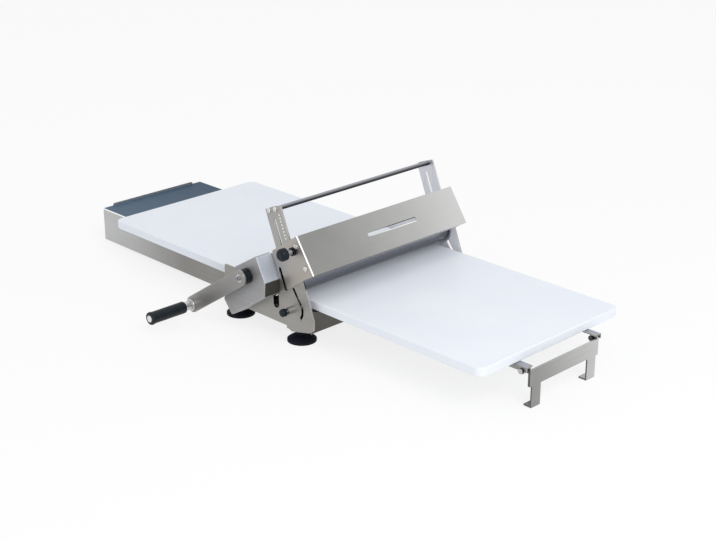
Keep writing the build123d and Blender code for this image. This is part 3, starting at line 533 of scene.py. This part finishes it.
def board_material():
    """White cutting-board plastic with a fine grain and faint knife marks."""
    material, tree, shader = new_material("board_plastic")
    grain = even_noise(tree, BOARD_GRAIN, detail=2.0)
    cloud = even_noise(tree, BOARD_CLOUDS, detail=4.0)
    marks = noise(tree, KNIFE_MARKS, detail=6.0, rough=0.75)
    white = mix(tree, ramp(tree, cloud, 0.0, 1.0), BOARD_COOL, BOARD_WARM)
    scored = mix(tree, ramp(tree, marks, 0.0, 0.25, start=0.66, end=0.74), white, BOARD_SCORED)
    feed(tree, scored, shader.inputs["Base Color"])
    feed(tree, ramp(tree, cloud, 0.38, 0.52), shader.inputs["Roughness"])
    bump(tree, shader, grain, strength=0.12, distance=0.0003)
    return material


def table_material():
    """Brushed sheet with painted shade along the table from its end, a painted highlight on its folds, and a
    top face that carries a slate-blue film.
    """
    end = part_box("left_table")[0].x
    painted_shading = (TABLE_PAINTED_SHADE, X, end + TABLE_PAINTED_SHADE_STRETCH[0], end + TABLE_PAINTED_SHADE_STRETCH[1])
    material = brushed("table_sheet", (0.53, 0.535, 0.54), X, shift=painted_shading)
    tree = material.node_tree
    tree.nodes["Principled BSDF"].inputs["Specular IOR Level"].default_value = 0.15
    overlay(material, both(tree, faces(tree, Z, *LEANING), faces(tree, -Y, *LEANING)), PAINTED_HIGHLIGHT)
    top = faces(tree, Z, start=0.8, end=0.95)
    grain = noise(tree, FILM_GRAIN, detail=3.0)
    overlay(material, top, mix(tree, ramp(tree, grain, 0.0, 1.0), SLATE_DARK, SLATE_LIGHT))
    overlay(material, both(tree, top, fade(tree, *from_middle(*TABLE_DARKENING))), SLATE_FAR)
    metal_except(material, top)
    return material


def dress(material, *names):
    """Give some of the frame's pieces a material."""
    for name in names:
        materials = NODES[name].data.materials
        materials.clear()
        materials.append(material)


dress(PLATE_STEEL, "foot_brackets", "rear_cross_member")
# Painted shade on the front cross member
dress(PAINTED_SHADE_PLATE_STEEL, "front_cross_member")
dress(near_plate_material(), "near_side_plate")
dress(far_plate_material(), "far_side_plate")
dress(guard_material(), "gear_guard")
dress(cover_material(), "roller_cover")
dress(table_material(), "left_table")
dress(board_material(), "board")
dress(rail_material(), "near_rail", "far_rail")
dress(leg_material(), "leg_bracket")
dress(leg_bolt_material(), "leg_bolts")
dress(near_arm_material(), "near_arm")
# Painted light on the far arm
dress(FAR_ARM_PAINTED_LIGHT_STEEL, "far_arm")
dress(bar_material(), "handle_bar")
dress(CRANK_STEEL, "crank_arm")
dress(sleeve_material(), "clamp_sleeve")
dress(TURNED_STEEL, "drive_roller", "support_roller", "gear_shaft", "crank_shaft", "grip_spindle")
dress(TURNED_STEEL, "clamp_bolt", "catch_body", "catch_pin", "catch_spring", "guide_studs")
dress(SHADED_STEEL, "drive_shaft", "support_axle", "crank_screw")
# Painted shade on the upper roller
dress(PAINTED_SHADE_ROLLER_STEEL, "upper_roller", "upper_roller_shaft")
# Painted shade on the guide pins
dress(PAINTED_SHADE_PIN_STEEL, "guide_pins")
dress(BRIGHT_STEEL, "foot_studs", "guard_screws", "cover_screws", "table_screws", "rail_screws", "arm_screws")
# Painted shade on the gears and bushes
dress(PAINTED_SHADE_GEAR_STEEL, "crank_pinion", "reduction_gear", "transfer_gear", "drive_gear", "drive_bushes")
dress(BUSH_BRONZE, "crank_bushes", "gear_bush", "upper_bushes")
dress(BLACK_PLASTIC, "grip", "clamp_knob", "catch_knob", "crank_collar")
dress(BLACK_RUBBER, "rubber_feet")
dress(CAP_PLASTIC, "grip_cap")


# Pieces made here
def add_object(name, data):
    """New object in the scene."""
    made = bpy.data.objects.new(name, data)
    bpy.context.scene.collection.objects.link(made)
    return made


def add_piece(name, shape, material):
    """New object of a finished shape, with one material."""
    mesh = bpy.data.meshes.new(name)
    shape.to_mesh(mesh)
    shape.free()
    mesh.materials.append(material)
    return add_object(name, mesh)


def add_marks():
    """Plain round marks in a row beside the near arm's slot."""
    shape = bmesh.new()
    face_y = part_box("near_arm")[0].y
    upright = Matrix.Rotation(math.radians(90.0), 4, "X")
    for step in range(MARK_COUNT):
        centre = UPPER_AXIS + (MARK_TOP - step * MARK_STEP) * YOKE_UP + MARK_SIDE * YOKE_ACROSS
        centre.y = face_y - MARK_HEIGHT / 2
        bmesh.ops.create_cone(
            shape,
            cap_ends=True,
            segments=MARK_SEGMENTS,
            radius1=MARK_RADIUS,
            radius2=MARK_RADIUS,
            depth=MARK_HEIGHT,
            matrix=Matrix.Translation(centre) @ upright,
        )
    marks = add_piece("scale_marks", shape, MARK_PAINT)
    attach(marks, "yoke")


def turn_point(step, steps):
    """Cosine and sine of one step of a full turn."""
    angle = 2.0 * math.pi * step / steps
    return math.cos(angle), math.sin(angle)


def wire_ring(shape, centre, out):
    """Ring of points round the spring's wire, whose section lies along out and Y."""
    ring = []
    for side in range(SPRING_SIDES):
        outward, lengthwise = turn_point(side, SPRING_SIDES)
        ring.append(shape.verts.new(centre + SPRING_WIRE * (outward * out + lengthwise * Y)))
    return ring


def skin(shape, rings):
    """Closed tube through rings of points."""
    for first, second in zip(rings, rings[1:]):
        for side in range(SPRING_SIDES):
            after = (side + 1) % SPRING_SIDES
            shape.faces.new((first[side], first[after], second[after], second[side]))
    for end in (rings[0], rings[-1]):
        shape.faces.new(end)
    bmesh.ops.recalc_face_normals(shape, faces=shape.faces)


def add_spring():
    """Coil in the catch body, which stands in for the catch spring."""
    low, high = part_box("catch_spring")
    middle = (low + high) / 2
    length = high.y - low.y
    coil_radius = (high.x - low.x) / 2 - SPRING_WIRE
    climb = length - 2.0 * SPRING_WIRE
    steps = SPRING_TURNS * SPRING_STEPS
    shape = bmesh.new()
    rings = []
    for step in range(steps + 1):
        across, up = turn_point(step, SPRING_STEPS)
        out = across * X + up * Z
        centre = middle + coil_radius * out
        centre.y = low.y + SPRING_WIRE + climb * step / steps
        rings.append(wire_ring(shape, centre, out))
    skin(shape, rings)
    coil = add_piece("catch_coil", shape, TURNED_STEEL)
    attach(coil, "base")
    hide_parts("catch_spring")
    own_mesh(coil)


# Studio
def seen_ray(tree):
    """One for the rays that see the backdrop straight, in metal or through glass."""
    paths = node(tree, "ShaderNodeLightPath").outputs
    seen = paths["Is Camera Ray"]
    for name in ("Is Glossy Ray", "Is Transmission Ray"):
        seen = maths(tree, "MAXIMUM", seen, paths[name])
    return seen


def add_floor():
    """Pale paper that keeps the shadow and looks nearly white where it is seen."""
    material, tree, shader = new_material("floor_paper", Base_Color=FLOOR_TONE, Roughness=FLOOR_ROUGH)
    lift = ramp(tree, seen_ray(tree), 0.0, FLOOR_LIFT, start=0.0, end=1.0)
    glow = node(tree, "ShaderNodeEmission").outputs["Emission"]
    mixed = node(tree, "ShaderNodeMixShader", {0: lift, 1: shader.outputs["BSDF"], 2: glow})
    feed(tree, mixed.outputs["Shader"], tree.nodes["Material Output"].inputs["Surface"])
    shape = bmesh.new()
    bmesh.ops.create_grid(shape, x_segments=1, y_segments=1, size=FLOOR_HALF)
    floor = add_piece("floor", shape, material)


def add_lamp():
    """Large soft lamp over the near right-hand side."""
    light = bpy.data.lights.new("key", "AREA")
    light.shape = "RECTANGLE"
    light.size, light.size_y = LAMP_SIZE
    light.energy = LAMP_POWER
    lamp = add_object("key", light)
    lamp.location = LAMP_PLACE
    lamp.rotation_euler = (LAMP_AIM - LAMP_PLACE).to_track_quat("-Z", "Y").to_euler()


def set_world():
    """White light from all round, at full white where it is seen."""
    world = bpy.data.worlds.new("studio")
    bpy.context.scene.world = world
    world.use_nodes = True
    tree = world.node_tree
    inputs = tree.nodes["Background"].inputs
    feed(tree, WHITE, inputs["Color"])
    feed(tree, ramp(tree, seen_ray(tree), WORLD_LIGHT, 1.0, start=0.0, end=1.0), inputs["Strength"])


def add_camera():
    """Camera at the photograph's viewing angle."""
    level = math.cos(CAMERA_ELEVATION)
    lengthwise = -math.sin(CAMERA_AZIMUTH) * level
    across = math.cos(CAMERA_AZIMUTH) * level
    ahead = Vector((lengthwise, across, -math.sin(CAMERA_ELEVATION)))
    data = bpy.data.cameras.new("camera")
    data.sensor_width = SENSOR_WIDTH
    data.lens = SENSOR_WIDTH * FOCAL_PIXELS / FRAME_PIXELS
    camera = add_object("camera", data)
    camera.location = CAMERA_AIM - CAMERA_DISTANCE * ahead
    camera.rotation_euler = ahead.to_track_quat("-Z", "Y").to_euler()
    bpy.context.scene.camera = camera


add_marks()
add_spring()
add_floor()
add_lamp()
set_world()
add_camera()
bpy.context.scene.view_settings.view_transform = "Standard"
